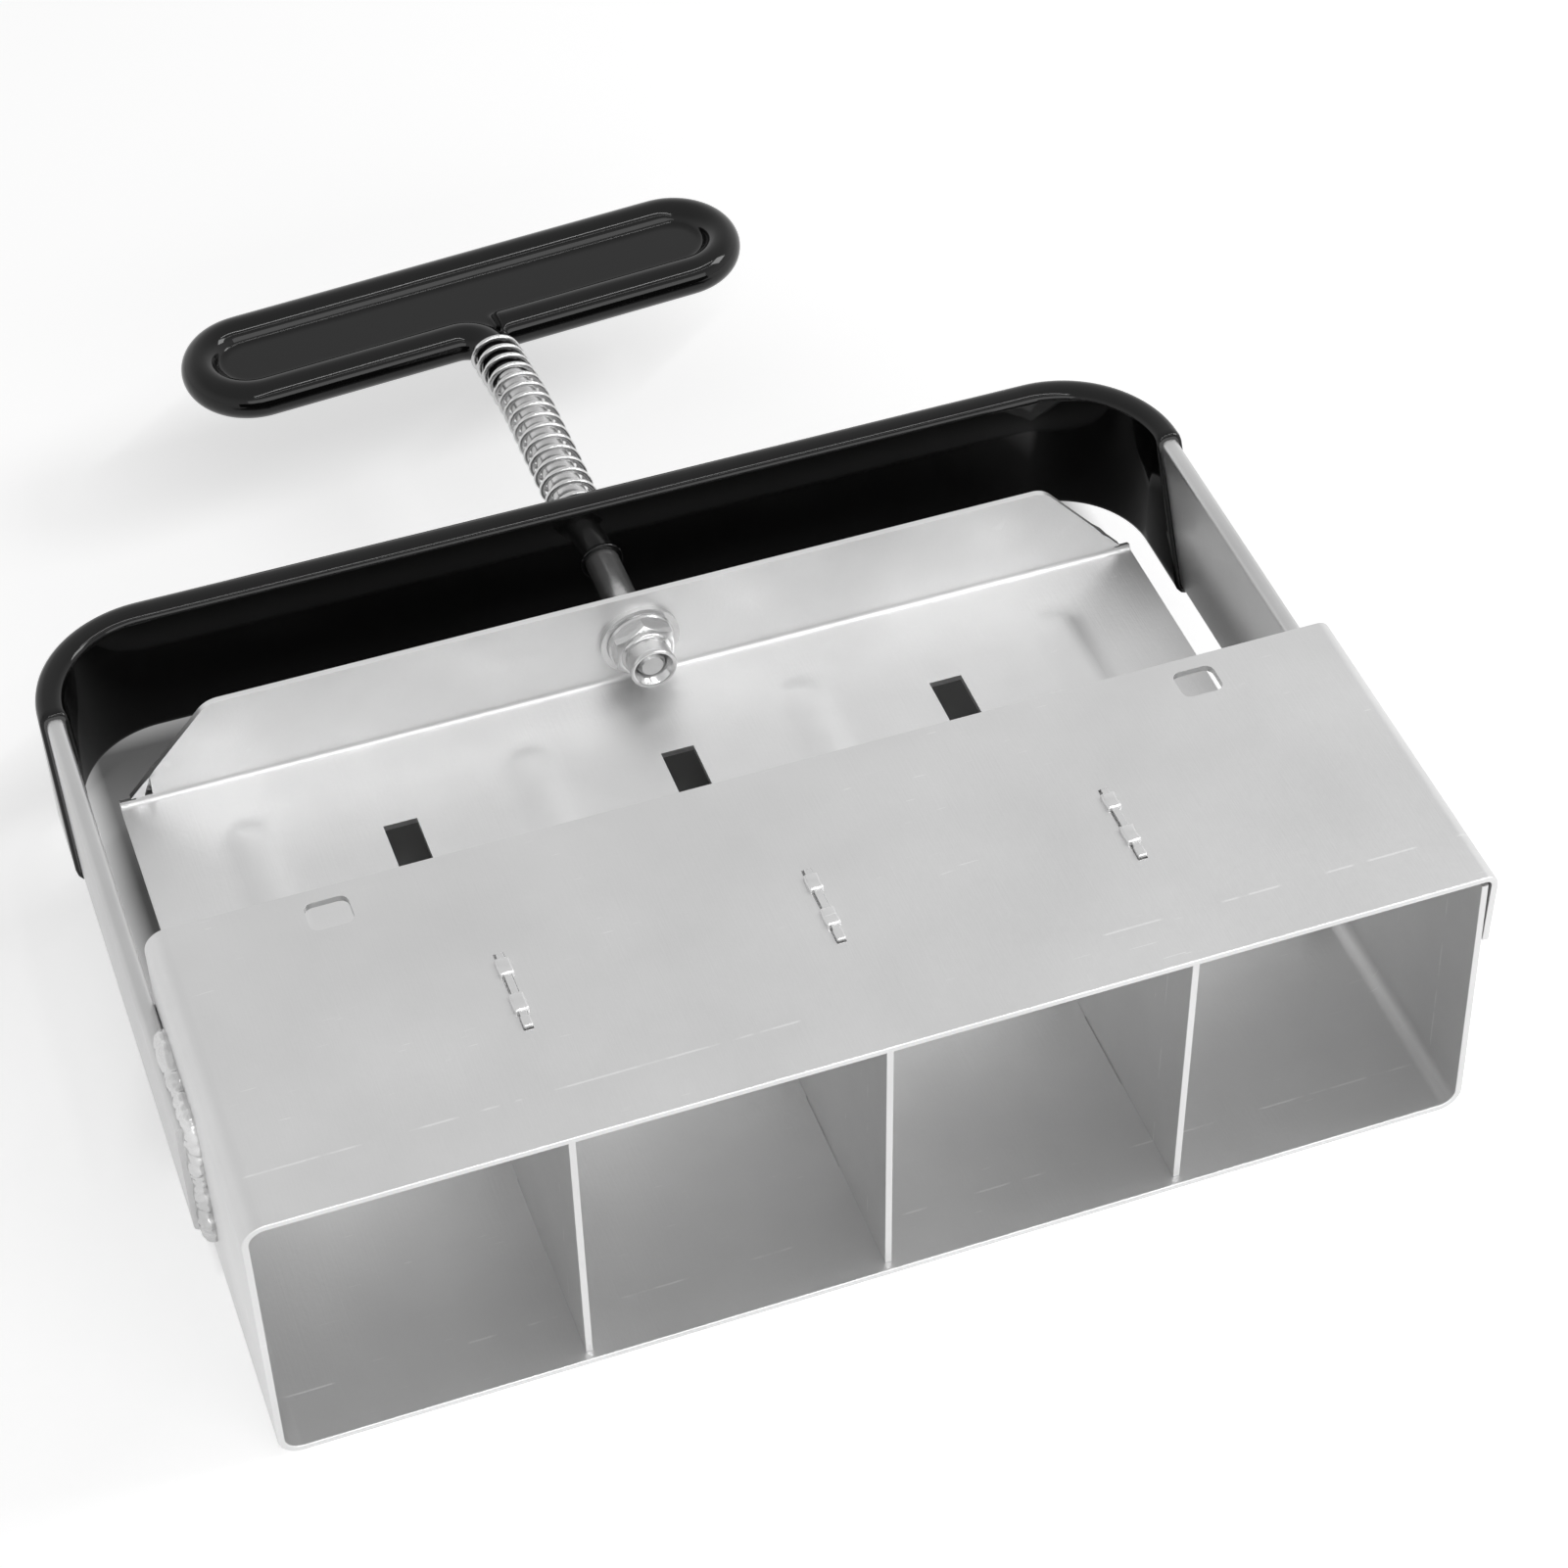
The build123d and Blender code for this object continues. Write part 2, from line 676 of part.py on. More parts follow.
# least gap of the wire to itself, measured on points
steps = 16
track = [wire_line.wire() @ (i / steps / quarters) for i in range(quarters * steps + 1)]
least = min(
    (track[i] - track[j]).length - wire
    for i in range(0, len(track), 2)
    for j in range(i + 2 * steps, min(i + 6 * steps, len(track)))
)
print(f"spring: {turns:.2f} turns, length {spring_length:.2f}, least gap to itself {least:.2f}")
print(f"spring pressed by the travel: {spring_length - travel:.2f} long, solid {turns * wire + 2 * wire:.2f}")
print(f"tool length {tee_far_y:.2f}, mouth at y {mouth_y:.2f}, width {2 * (strap_half + dip):.2f}")
print(f"bridge y {bridge_y:.2f}, seat y {seat_y:.2f}, bend y {bend_y:.2f}, foot y {foot_y:.2f}")
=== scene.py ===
# %% [markdown]
# # A soil blocker of sheet steel
#
# A soil blocker is a hand tool for seed starting. It is pushed into wet potting
# soil, and its plunger then pushes four pressed blocks out. This lesson dresses
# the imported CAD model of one: bent sheet, flat bar dipped in black vinyl, a bent
# rod, a spring, a few nuts and two welds. Here the tool lies on its back, with
# the open cells to the front, and all pieces are made in millimetres and scaled
# to metres when they are finished.

import math

import bmesh
import bpy
from mathutils import Matrix, Vector, noise


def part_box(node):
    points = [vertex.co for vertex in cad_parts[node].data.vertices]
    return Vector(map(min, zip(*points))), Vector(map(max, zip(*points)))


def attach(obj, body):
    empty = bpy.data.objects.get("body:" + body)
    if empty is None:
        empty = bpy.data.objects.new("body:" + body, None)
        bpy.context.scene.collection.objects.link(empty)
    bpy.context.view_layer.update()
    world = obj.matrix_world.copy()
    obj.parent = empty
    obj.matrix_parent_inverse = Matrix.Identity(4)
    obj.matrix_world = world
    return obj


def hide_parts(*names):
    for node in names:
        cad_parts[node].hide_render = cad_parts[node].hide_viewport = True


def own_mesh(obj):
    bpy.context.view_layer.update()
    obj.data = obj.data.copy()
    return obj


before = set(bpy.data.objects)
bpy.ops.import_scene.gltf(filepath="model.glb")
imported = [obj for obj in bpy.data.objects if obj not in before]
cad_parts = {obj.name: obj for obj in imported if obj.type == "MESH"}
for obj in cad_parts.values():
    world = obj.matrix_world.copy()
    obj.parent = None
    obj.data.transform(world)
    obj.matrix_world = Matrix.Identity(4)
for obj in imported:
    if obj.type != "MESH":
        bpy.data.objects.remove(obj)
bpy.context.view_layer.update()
MM = 0.001

# %% [markdown]
# ## Places
#
# Every place comes from the CAD nodes, so a piece sits where its solid is. The
# mouth of the box and the crossbar give Y, and the middle of the bar gives Z.

# %% Places in millimetres
def side_of(node, corner, axis):
    """One side of a CAD node's box in millimetres: corner 0 is low, 1 is high."""
    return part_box(node)[corner][axis] / MM


mouth = side_of("mould_box", 0, 1)
back = side_of("mould_box", 1, 1)
half_row = side_of("mould_box", 1, 0)
wall_top = side_of("mould_box", 1, 2)
crossbar = side_of("handle_strap", 1, 1)
bar_low = side_of("handle_strap", 0, 2)
bar_high = side_of("handle_strap", 1, 2)
axis_z = (bar_low + bar_high) / 2
bridge_back = side_of("ejector", 1, 1)
foot = side_of("ejector", 0, 1)
web_low = side_of("ejector", 0, 2)
sheet = 1.2
print(f"mouth {mouth:.2f}, back {back:.2f}, crossbar {crossbar:.2f}, rod at z {axis_z:.2f}")

# %% [markdown]
# ## Camera, light and floor
#
# The photograph looks down on the tool at about 46 degrees, from its front
# left, through a lens of about 88 mm. A product table is set up in the same
# way here. Satin metal looks like what it mirrors, so the white studio lights
# most of it. Two long strips over the camera draw the pair of thin lines along
# every rounded black edge, a wide panel in front lights the insides of the
# cells, and a key from the right throws soft shadows to the left.

# %% Camera
scene = bpy.context.scene
scene.view_settings.view_transform = "Standard"
lens = bpy.data.cameras.new("camera")
lens.sensor_width = 36.0
lens.lens = 87.8
camera = bpy.data.objects.new("camera", lens)
camera.location = (-0.13932, -0.48088, 0.50992)
camera.rotation_euler = [math.radians(a) for a in (44.128, 0.748, -19.725)]
scene.collection.objects.link(camera)
scene.camera = camera


# %% Helpers for colours and nodes
def linear(colour):
    """An sRGB hex colour as linear RGBA."""
    shares = [int(colour[i : i + 2], 16) / 255 for i in (1, 3, 5)]
    return [c / 12.92 if c <= 0.04045 else ((c + 0.055) / 1.055) ** 2.4 for c in shares] + [1.0]


def add_node(tree, kind, inputs=None, **settings):
    """Adds a node, with its settings, and with its inputs set or linked."""
    node = tree.nodes.new(kind)
    for name, value in settings.items():
        setattr(node, name, value)
    for name, value in (inputs or {}).items():
        if isinstance(value, bpy.types.NodeSocket):
            tree.links.new(value, node.inputs[name])
        else:
            node.inputs[name].default_value = value
    return node


def seen_directly(tree):
    """1 for rays that come straight from the camera, a metal mirror or clear glass."""
    path = add_node(tree, "ShaderNodeLightPath")
    straight = {0: path.outputs["Is Camera Ray"], 1: path.outputs["Is Glossy Ray"]}
    straight = add_node(tree, "ShaderNodeMath", straight, operation="MAXIMUM")
    either = {0: straight.outputs[0], 1: path.outputs["Is Transmission Ray"]}
    return add_node(tree, "ShaderNodeMath", either, operation="MAXIMUM").outputs[0]


# %% [markdown]
# The camera and the metal see a white studio whose ceiling is a little darker
# than its walls. What reaches matt surfaces from it is weaker, so that the
# lamps can still make shadows.

# %% World
world = bpy.data.worlds.new("white studio")
scene.world = world
world.use_nodes = True
tree = world.node_tree
tree.nodes.clear()
direction = add_node(tree, "ShaderNodeTexCoord").outputs["Generated"]
height = add_node(tree, "ShaderNodeSeparateXYZ", {0: direction}).outputs[2]
darker = {"Value": height, "From Min": 0.3, "From Max": 0.7, "To Min": 1.0, "To Max": 0.7}
ceiling = add_node(tree, "ShaderNodeMapRange", darker)
pure_white = linear("#FFFFFF")
light = add_node(tree, "ShaderNodeBackground", {"Color": pure_white, "Strength": 0.25})
mirrored = {"Color": pure_white, "Strength": ceiling.outputs[0]}
white = add_node(tree, "ShaderNodeBackground", mirrored)
shown = {0: seen_directly(tree), 1: light.outputs[0], 2: white.outputs[0]}
shown = add_node(tree, "ShaderNodeMixShader", shown)
add_node(tree, "ShaderNodeOutputWorld", {"Surface": shown.outputs[0]})


# %% Lamps
def softbox(name, place, target, width, height, brightness):
    """A rectangular area lamp that looks at a point. Sizes in metres, brightness 1 is white."""
    lamp = bpy.data.lights.new(name, "AREA")
    lamp.shape = "RECTANGLE"
    lamp.size, lamp.size_y = width, height
    lamp.energy = brightness * math.pi * width * height
    holder = bpy.data.objects.new(name, lamp)
    holder.location = place
    holder.rotation_euler = (Vector(target) - Vector(place)).to_track_quat("-Z", "Y").to_euler()
    scene.collection.objects.link(holder)


tool_middle = (0.02, 0.0, 0.03)
softbox("upper strip", (0.28, -0.36, 1.02), tool_middle, 1.3, 0.04, 15.0)
softbox("lower strip", (0.30, -0.58, 0.86), tool_middle, 1.3, 0.02, 7.0)
softbox("front panel", (0.15, -1.25, 0.42), (0.0, -0.1, 0.03), 1.6, 0.7, 1.8)
softbox("key", (1.0, -0.1, 0.8), (0.0, 0.0, 0.02), 0.4, 0.4, 7.0)

# %% [markdown]
# The floor is a sheet of white paper. To the camera and to the metal it also
# glows a little, so that it reads as pure white. Between the box and the
# crossbar it has no glow and a greyer colour: that is painted shade, which
# darkens the slots and the gap beside the ejector.

# %% Floor
bm = bmesh.new()
bmesh.ops.create_grid(bm, x_segments=2, y_segments=2, size=3.0)
floor_mesh = bpy.data.meshes.new("floor")
bm.to_mesh(floor_mesh)
bm.free()
floor = bpy.data.objects.new("floor", floor_mesh)
floor.location.z = -0.0002
scene.collection.objects.link(floor)
paper = bpy.data.materials.new("white paper sweep")
paper.use_nodes = True
tree = paper.node_tree
tree.nodes.clear()
place = add_node(tree, "ShaderNodeTexCoord").outputs["Object"]
middle_y = (back + crossbar) / 2 * MM
inside = add_node(tree, "ShaderNodeMapping", {"Vector": place, "Location": (0, -middle_y, 0)})
across = add_node(tree, "ShaderNodeSeparateXYZ", {0: inside.outputs[0]})
over_x = add_node(tree, "ShaderNodeMath", {0: across.outputs[0]}, operation="ABSOLUTE")
over_y = add_node(tree, "ShaderNodeMath", {0: across.outputs[1]}, operation="ABSOLUTE")
edge_x = {"Value": over_x.outputs[0], "From Min": 97 * MM, "From Max": 105 * MM}
edge_y = {"Value": over_y.outputs[0], "From Min": 54 * MM, "From Max": 72 * MM}
out_x = add_node(tree, "ShaderNodeMapRange", edge_x).outputs[0]
out_y = add_node(tree, "ShaderNodeMapRange", edge_y).outputs[0]
outside = add_node(tree, "ShaderNodeMath", {0: out_x, 1: out_y}, operation="MAXIMUM").outputs[0]
shown = {0: outside, 1: seen_directly(tree)}
strength = add_node(tree, "ShaderNodeMath", shown, operation="MULTIPLY")
glow = add_node(tree, "ShaderNodeMath", {0: strength.outputs[0], 1: 0.55}, operation="MULTIPLY")
# painted shade: the floor is greyer, and has no glow, between the box and the crossbar
painted_shade_greys = {"Factor": outside, "A": linear("#9A9A9A"), "B": linear("#E4E4E4")}
shaded = add_node(tree, "ShaderNodeMix", painted_shade_greys, data_type="RGBA")
matt = add_node(tree, "ShaderNodeBsdfDiffuse", {"Color": shaded.outputs["Result"]})
lift = add_node(tree, "ShaderNodeEmission", {"Color": pure_white, "Strength": glow.outputs[0]})
both = add_node(tree, "ShaderNodeAddShader", {0: matt.outputs[0], 1: lift.outputs[0]})
add_node(tree, "ShaderNodeOutputMaterial", {"Surface": both.outputs[0]})
floor_mesh.materials.append(paper)

# %% [markdown]
# ## Zinc-plated sheet
#
# The box, the dividers and the ejector are cold-rolled steel sheet, stamped,
# bent and then zinc plated. Plating leaves a satin metal that is almost
# colourless. What the eye reads is a soft cloudiness, a faint grain along the
# rolling direction, a fine grit, and short bright scratches from handling. The
# clouds move the colour, the grit the roughness, and the grain the bump.


# %% Plated steel
def satin_steel(name, colour, dull_colour, roughness, scratch_share=0.0, scribe_y=1.0):
    """Satin plated steel: clouds of 30 mm, grit of 0.9 mm and grain of 0.4 x 12 mm.

    Scratches are 0.35 x 5 mm. The real grit and grain are finer, and are drawn as
    coarse as they need to be to show. A marking-out line 0.3 mm wide is scribed
    at scribe_y, in metres, and half worn away.
    """
    metal = bpy.data.materials.new(name)
    metal.use_nodes = True
    tree = metal.node_tree
    tree.nodes.clear()
    place = add_node(tree, "ShaderNodeTexCoord").outputs["Object"]
    clouds = {"Vector": place, "Scale": 1 / (30 * MM), "Detail": 3.0}
    clouds = add_node(tree, "ShaderNodeTexNoise", clouds).outputs["Fac"]
    grit = {"Vector": place, "Scale": 1 / (0.9 * MM), "Detail": 2.0}
    grit = add_node(tree, "ShaderNodeTexNoise", grit).outputs["Fac"]
    fine = (1 / (0.4 * MM), 1 / (12 * MM), 1 / (0.4 * MM))
    along = add_node(tree, "ShaderNodeMapping", {"Vector": place, "Scale": fine})
    grain = {"Vector": along.outputs[0], "Scale": 1.0, "Detail": 2.0}
    grain = add_node(tree, "ShaderNodeTexNoise", grain).outputs["Fac"]
    # bright scratches, only where the clouds say that the sheet was handled
    thin = (1 / (5 * MM), 1 / (0.35 * MM), 1 / (5 * MM))
    slant = {"Vector": place, "Rotation": (0.1, 0.1, -0.12), "Scale": thin}
    slant = add_node(tree, "ShaderNodeMapping", slant)
    marks = {"Vector": slant.outputs[0], "Scale": 1.0, "Detail": 1.0}
    marks = add_node(tree, "ShaderNodeTexNoise", marks).outputs["Fac"]
    lines = {"Value": marks, "From Min": 0.745, "From Max": 0.79}
    lines = add_node(tree, "ShaderNodeMapRange", lines).outputs[0]
    handled = {"Value": clouds, "From Min": 0.5, "From Max": 0.6}
    handled = add_node(tree, "ShaderNodeMapRange", handled).outputs[0]
    scratch = add_node(tree, "ShaderNodeMath", {0: lines, 1: handled}, operation="MULTIPLY")
    share = {0: scratch.outputs[0], 1: scratch_share}
    handling = add_node(tree, "ShaderNodeMath", share, operation="MULTIPLY")
    # the scribed line, broken up by a noise of 9 mm
    depth = add_node(tree, "ShaderNodeSeparateXYZ", {0: place}).outputs[1]
    off = add_node(tree, "ShaderNodeMath", {0: depth, 1: scribe_y}, operation="SUBTRACT")
    off = add_node(tree, "ShaderNodeMath", {0: off.outputs[0]}, operation="ABSOLUTE").outputs[0]
    line = {"Value": off, "From Min": 0.22 * MM, "From Max": 0.1 * MM}
    line = add_node(tree, "ShaderNodeMapRange", line).outputs[0]
    spots = {"Vector": place, "Scale": 1 / (9 * MM), "Detail": 3.0}
    spots = add_node(tree, "ShaderNodeTexNoise", spots).outputs["Fac"]
    dashes = {"Value": spots, "From Min": 0.5, "From Max": 0.58, "To Max": 0.5}
    dashes = add_node(tree, "ShaderNodeMapRange", dashes).outputs[0]
    scribed = add_node(tree, "ShaderNodeMath", {0: line, 1: dashes}, operation="MULTIPLY")
    bare = {0: handling.outputs[0], 1: scribed.outputs[0]}
    bare = add_node(tree, "ShaderNodeMath", bare, operation="MAXIMUM").outputs[0]
    # colour, roughness and bump
    shade = {"Value": clouds, "From Min": 0.3, "From Max": 0.7}
    shade = add_node(tree, "ShaderNodeMapRange", shade).outputs[0]
    tint = {"Factor": shade, "A": linear(dull_colour), "B": linear(colour)}
    tint = add_node(tree, "ShaderNodeMix", tint, data_type="RGBA").outputs["Result"]
    worn = {"Factor": bare, "A": tint, "B": linear("#FFFFFF")}
    worn = add_node(tree, "ShaderNodeMix", worn, data_type="RGBA")
    rough = {"Value": grit, "To Min": roughness - 0.05, "To Max": roughness + 0.05}
    rough = add_node(tree, "ShaderNodeMapRange", rough)
    heights = add_node(tree, "ShaderNodeMath", {0: grain, 1: grit}, operation="ADD")
    dents = {0: bare, 1: -3.0, 2: heights.outputs[0]}
    dents = add_node(tree, "ShaderNodeMath", dents, operation="MULTIPLY_ADD")
    relief = {"Height": dents.outputs[0], "Strength": 0.15, "Distance": 0.12 * MM}
    bump = add_node(tree, "ShaderNodeBump", relief)
    finish = {
        "Base Color": worn.outputs["Result"],
        "Metallic": 0.85,
        "Roughness": rough.outputs[0],
        "Normal": bump.outputs[0],
    }
    surface = add_node(tree, "ShaderNodeBsdfPrincipled", finish)
    add_node(tree, "ShaderNodeOutputMaterial", {"Surface": surface.outputs[0]})
    return metal


marked_out = (mouth + 10.0) * MM
box_sheet = satin_steel("zinc-plated box sheet", "#E4E4E4", "#DBDBDB", 0.42, 0.6, marked_out)
bright_sheet = satin_steel("bright plated ejector sheet", "#F2F2F2", "#E6E6E6", 0.40, 0.3)
bar_steel = satin_steel("plated flat bar", "#D8D8D8", "#CCCCCC", 0.36, 0.3)
nut_zinc = satin_steel("bright zinc on turned nuts", "#E2E2E2", "#D2D2D2", 0.20)
drawn_rod = satin_steel("drawn round rod", "#DADADA", "#C2C2C2", 0.22)
weld_metal = satin_steel("bright weld bead", "#E8E8E8", "#BDBDBD", 0.24)
print("metals:", [m.name for m in bpy.data.materials])

# %% [markdown]
# ## Black dipped vinyl
#
# The crossbar and the T-handle are warmed, dipped in liquid vinyl and cured.
# The skin is about 1 mm thick, deep black and glossy, softly rounded at each
# edge, with a slight orange peel and a few grains of dust under the gloss.
# Its specular level is a little under the default, so that it stays black
# where nothing bright is mirrored.

# %% Vinyl
vinyl = bpy.data.materials.new("black dipped vinyl")
vinyl.use_nodes = True
tree = vinyl.node_tree
tree.nodes.clear()
place = add_node(tree, "ShaderNodeTexCoord").outputs["Object"]
peel = {"Vector": place, "Scale": 1 / (7 * MM), "Detail": 2.0}
peel = add_node(tree, "ShaderNodeTexNoise", peel).outputs["Fac"]
dust = add_node(tree, "ShaderNodeTexVoronoi", {"Vector": place, "Scale": 1 / (8 * MM)})
grains = {"Value": dust.outputs["Distance"], "From Min": 0.03, "From Max": 0.0}
grains = add_node(tree, "ShaderNodeMapRange", grains).outputs[0]
raised = add_node(tree, "ShaderNodeMath", {0: grains, 1: 0.6, 2: peel}, operation="MULTIPLY_ADD")
relief = {"Height": raised.outputs[0], "Strength": 0.2, "Distance": 0.08 * MM}
bump = add_node(tree, "ShaderNodeBump", relief)
smears = {"Vector": place, "Scale": 1 / (25 * MM), "Detail": 2.0}
smears = add_node(tree, "ShaderNodeTexNoise", smears).outputs["Fac"]
gloss = {"Value": smears, "From Min": 0.3, "From Max": 0.7, "To Min": 0.05, "To Max": 0.09}
gloss = add_node(tree, "ShaderNodeMapRange", gloss)
finish = {
    "Base Color": linear("#0A0A0A"),
    "Roughness": gloss.outputs[0],
    "IOR": 1.45,
    "Specular IOR Level": 0.4,
    "Normal": bump.outputs[0],
}
skin = add_node(tree, "ShaderNodeBsdfPrincipled", finish)
add_node(tree, "ShaderNodeOutputMaterial", {"Surface": skin.outputs[0]})

# %% [markdown]
# ## Ways of working
#
# Nearly every piece of this tool is a section that is carried along straight
# runs and turns: sheet, bar, rod and wire. So one helper draws a rounded
# section, and one carries its edges. Extruding edges makes the straight runs,
# and spin makes the bends with their true radius.


# %% Section and sweep
def rounded_section(bm, width, height, radius, segments=3):
    """A ring of edges in the XY plane: a rectangle with rounded corners."""
    made = bmesh.ops.create_grid(bm, x_segments=1, y_segments=1, size=0.5)
    bmesh.ops.scale(bm, vec=(width, height, 1), verts=made["verts"])
    shape = {"offset": radius, "segments": segments, "profile": 0.5, "material": -1}
    bmesh.ops.bevel(bm, geom=made["verts"], affect="VERTICES", **shape)
    bmesh.ops.delete(bm, geom=bm.faces[:], context="FACES_ONLY")
    return bm.edges[:]


def round_section(bm, radius, sides):
    """A ring of edges in the XY plane: a circle."""
    bmesh.ops.create_circle(bm, segments=sides, radius=radius)
    return bm.edges[:]


def points_of(edges):
    """The vertices of some edges, each once, in a steady order."""
    return sorted({v for e in edges for v in e.verts}, key=lambda v: v.index)


def put(bm, edges, place, x_axis, y_axis):
    """Moves a ring from the XY plane to a place, with the plane's new X and Y."""
    x_axis, y_axis = Vector(x_axis), Vector(y_axis)
    turn = Matrix((x_axis, y_axis, x_axis.cross(y_axis))).transposed().to_4x4()
    bm.verts.index_update()
    bmesh.ops.transform(bm, matrix=Matrix.Translation(place) @ turn, verts=points_of(edges))
    return edges


def carry(bm, ring, moves):
    """Carries edges along runs (vector, steps) and turns (centre, axis, degrees, steps)."""
    for move in moves:
        if len(move) == 2:
            for _ in range(move[1]):
                made = bmesh.ops.extrude_edge_only(bm, edges=ring)["geom"]
                fresh = {v for v in made if isinstance(v, bmesh.types.BMVert)}
                bmesh.ops.translate(bm, vec=Vector(move[0]) / move[1], verts=list(fresh))
                edges = [e for e in made if isinstance(e, bmesh.types.BMEdge)]
                ring = [e for e in edges if set(e.verts) <= fresh]
        else:
            centre, axis, degrees, steps = move
            points = list({v for e in ring for v in e.verts})
            turn = {"cent": centre, "axis": axis, "angle": math.radians(degrees), "steps": steps}
            made = bmesh.ops.spin(bm, geom=points + ring, **turn)
            ring = [e for e in made["geom_last"] if isinstance(e, bmesh.types.BMEdge)]
    return ring


def closed_sweep(bm, ring, moves):
    """A sweep with both ends filled and its faces turned outwards."""
    last = carry(bm, ring, moves)
    for end in (ring, last):
        bmesh.ops.edgeloop_fill(bm, edges=end)
    bmesh.ops.recalc_face_normals(bm, faces=bm.faces[:])


# %% Finishing a piece
crease = math.radians(40)


def make_piece(bm, name, material, body=None, stands_for=()):
    """Turns a bmesh in millimetres into a finished object of the frame."""
    bmesh.ops.scale(bm, vec=(MM, MM, MM), verts=bm.verts[:])
    mesh = bpy.data.meshes.new(name)
    bm.to_mesh(mesh)
    bm.free()
    mesh.shade_smooth()
    mesh.set_sharp_from_angle(angle=crease)
    mesh.materials.append(material)
    piece = bpy.data.objects.new(name, mesh)
    scene.collection.objects.link(piece)
    if body:
        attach(piece, body)
        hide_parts(*stands_for)
        print(f"{name}: {len(mesh.polygons)} faces")
    return piece


def soften(piece, width):
    """Rounds the sharp edges a little, as deburring and plating do."""
    edge = piece.modifiers.new("deburred edges", "BEVEL")
    edge.width = width * MM
    edge.segments = 2
    edge.limit_method = "ANGLE"
    edge.angle_limit = crease
    flat = piece.modifiers.new("flat faces", "WEIGHTED_NORMAL")
    flat.keep_sharp = True


def settle(piece):
    """Applies the modifiers, so that the mesh is the finished shape."""
    graph = bpy.context.evaluated_depsgraph_get()
    mesh = bpy.data.meshes.new_from_object(piece.evaluated_get(graph))
    piece.modifiers.clear()
    piece.data = mesh


def cut(piece, tool, operation="DIFFERENCE"):
    """Cuts a piece with a tool made by make_piece, and removes the tool."""
    knife = piece.modifiers.new("cut", "BOOLEAN")
    knife.operation = operation
    knife.object = tool
    knife.solver = "EXACT"
    settle(piece)
    bpy.data.objects.remove(tool)
    piece.data.set_sharp_from_angle(angle=crease)


def melt(piece, voxel, rounds):
    """Lets joined forms flow together: a voxel remesh in mm, and then smoothing."""
    skin = piece.modifiers.new("one skin", "REMESH")
    skin.mode = "VOXEL"
    skin.voxel_size = voxel * MM
    calm = piece.modifiers.new("surface tension", "SMOOTH")
    calm.factor = 0.5
    calm.iterations = rounds
    settle(piece)
    piece.data.shade_smooth()
    print(f"{piece.name}: {len(piece.data.polygons)} faces after melting")


def block(low, high, radius=0.0):
    """A block, used as a cutting tool, with rounded upright edges."""
    bm = bmesh.new()
    ring = rounded_section(bm, high[0] - low[0], high[1] - low[1], max(radius, 0.01))
    foot_middle = ((low[0] + high[0]) / 2, (low[1] + high[1]) / 2, low[2])
    put(bm, ring, foot_middle, (1, 0, 0), (0, 1, 0))
    closed_sweep(bm, ring, [((0, 0, high[2] - low[2]), 1)])
    return make_piece(bm, "tool", box_sheet)


# %% [markdown]
# ## Mould box
#
# The box is one strip of sheet. It starts as a short flange at the right,
# turns over the upper wall, down the left, along the table, and up again inside
# the flange. That last wall leans inwards, which leaves the dark wedge at the
# right front corner. Its section is the sheet's own thickness by the height of
# the cells.

# %% Box strip
bend = 4.0  # outside radius, as is the next one
lap_bend = 2.4
lap_end = wall_top - 15.5
lean_degrees = 1.94
lean = math.radians(lean_degrees)
tucked_wall = 52
edge_rounding = 0.22
middle = (mouth + back) / 2
wide = half_row - bend
bm = bmesh.new()
ring = rounded_section(bm, sheet, back - mouth, edge_rounding)
put(bm, ring, (half_row - sheet / 2, middle, lap_end), (1, 0, 0), (0, 1, 0))
closed_sweep(
    bm,
    ring,
    [
        ((0, 0, wall_top - lap_bend - lap_end), 1),
        ((half_row - lap_bend, middle, wall_top - lap_bend), (0, 1, 0), -90, 8),
        ((lap_bend - half_row - wide, 0, 0), 4),
        ((-wide, middle, wall_top - bend), (0, 1, 0), -90, 10),
        ((0, 0, 2 * bend - wall_top), 1),
        ((-wide, middle, bend), (0, 1, 0), -90, 10),
        ((2 * wide, 0, 0), 4),
        ((wide, middle, bend), (0, 1, 0), -90 - lean_degrees, 10),
        ((-tucked_wall * math.sin(lean), 0, tucked_wall * math.cos(lean)), 1),
    ],
)
box_strip = make_piece(bm, "box_strip", box_sheet, "frame", ["mould_box"])

# %% Windows and tab slots
window_middle = back - 6.0
window_half_x, window_half_y, window_corner = 3.7, 3.1, 1.5
below, above = wall_top - 2, wall_top + 2
for x in (-74.7, 76.7):
    low = (x - window_half_x, window_middle - window_half_y, below)
    high = (x + window_half_x, window_middle + window_half_y, above)
    cut(box_strip, block(low, high, window_corner))
divider_xs = [-51.8, 0.0, 51.8]
tab_middle = mouth + 31.4
half_tab = 8
half_slot, half_lower_slot = 8.4, 8.2  # with room for the tabs
for x in divider_xs:
    low = (x - 0.95, tab_middle - half_slot, below)
    high = (x + 0.75, tab_middle + half_slot, above)
    cut(box_strip, block(low, high))
    low = (x - 0.75, tab_middle - half_lower_slot, -1)
    high = (x + 0.75, tab_middle + half_lower_slot, 2)
    cut(box_strip, block(low, high))
soften(box_strip, 0.15)
print("box strip:", len(box_strip.data.polygons), "faces after cutting")

# %% [markdown]
# ## Dividers
#
# Each divider is a plate with a tab that passes through the wide walls. The
# upper tab stands a little proud, and two chisel blows spread it over the
# wall. A chisel leaves a lump with a notch across it.


